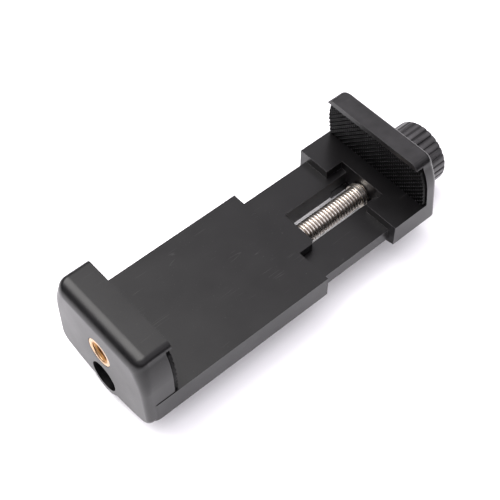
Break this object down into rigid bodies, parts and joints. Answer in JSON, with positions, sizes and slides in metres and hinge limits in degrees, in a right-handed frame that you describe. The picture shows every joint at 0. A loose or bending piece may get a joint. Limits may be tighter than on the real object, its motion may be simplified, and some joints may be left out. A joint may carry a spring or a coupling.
{
  "type": "phone clamp",
  "caption": "Screw-driven phone clamp with a tripod thread: a plate with a fixed jaw, a sliding jaw on a forked arm, rubber-toothed pads, and a lead screw turned by a ribbed knob.",
  "frame": {"origin": "centre of the bounding box at its bottom, where the knob's rim touches the surface", "axes": "+X along the lead screw from the fixed jaw to the knob, +Z away from the plate on the side of the jaws, +Y across"},
  "size_m": [0.112, 0.0364, 0.0325],
  "materials": {
    "black_plastic": "satin moulded black plastic, finely textured",
    "rubber": "matt black rubber with diamond teeth",
    "brass": "bright machined brass",
    "nickel": "nickel-plated steel, bright",
    "black_steel": "black zinc-plated steel"
  },
  "bodies": {
    "body": {"body_shell": "black_plastic", "bottom_cover": "black_plastic", "cover_screw_1": "black_steel", "cover_screw_2": "black_steel", "tripod_insert": "brass", "fixed_jaw_pad": "rubber", "screw_nut": "brass"},
    "jaw": {"slide_jaw": "black_plastic", "moving_jaw_pad": "rubber", "jaw_cover": "black_plastic", "jaw_cover_screw_1": "black_steel", "jaw_cover_screw_2": "black_steel"},
    "screw": {"lead_screw": "nickel", "thrust_collar": "nickel", "thrust_washer": "nickel", "screw_end_clip": "nickel", "knob": "black_plastic", "knob_cap": "black_plastic"}
  },
  "joints": [
    {"name": "jaw_slide", "type": "slide", "parent": "body", "child": "jaw", "axis": [1, 0, 0], "range_m": [-0.0238, 0.006]},
    {"name": "knob_turn", "type": "hinge", "parent": "jaw", "child": "screw", "pos_m": [0.049, 0, 0.0093], "axis": [1, 0, 0], "range_deg": [-8568, 2160]}
  ],
  "couplings": [
    {"joint": "jaw_slide", "follows": "knob_turn", "m_per_rad": 0.00015915}
  ]
}
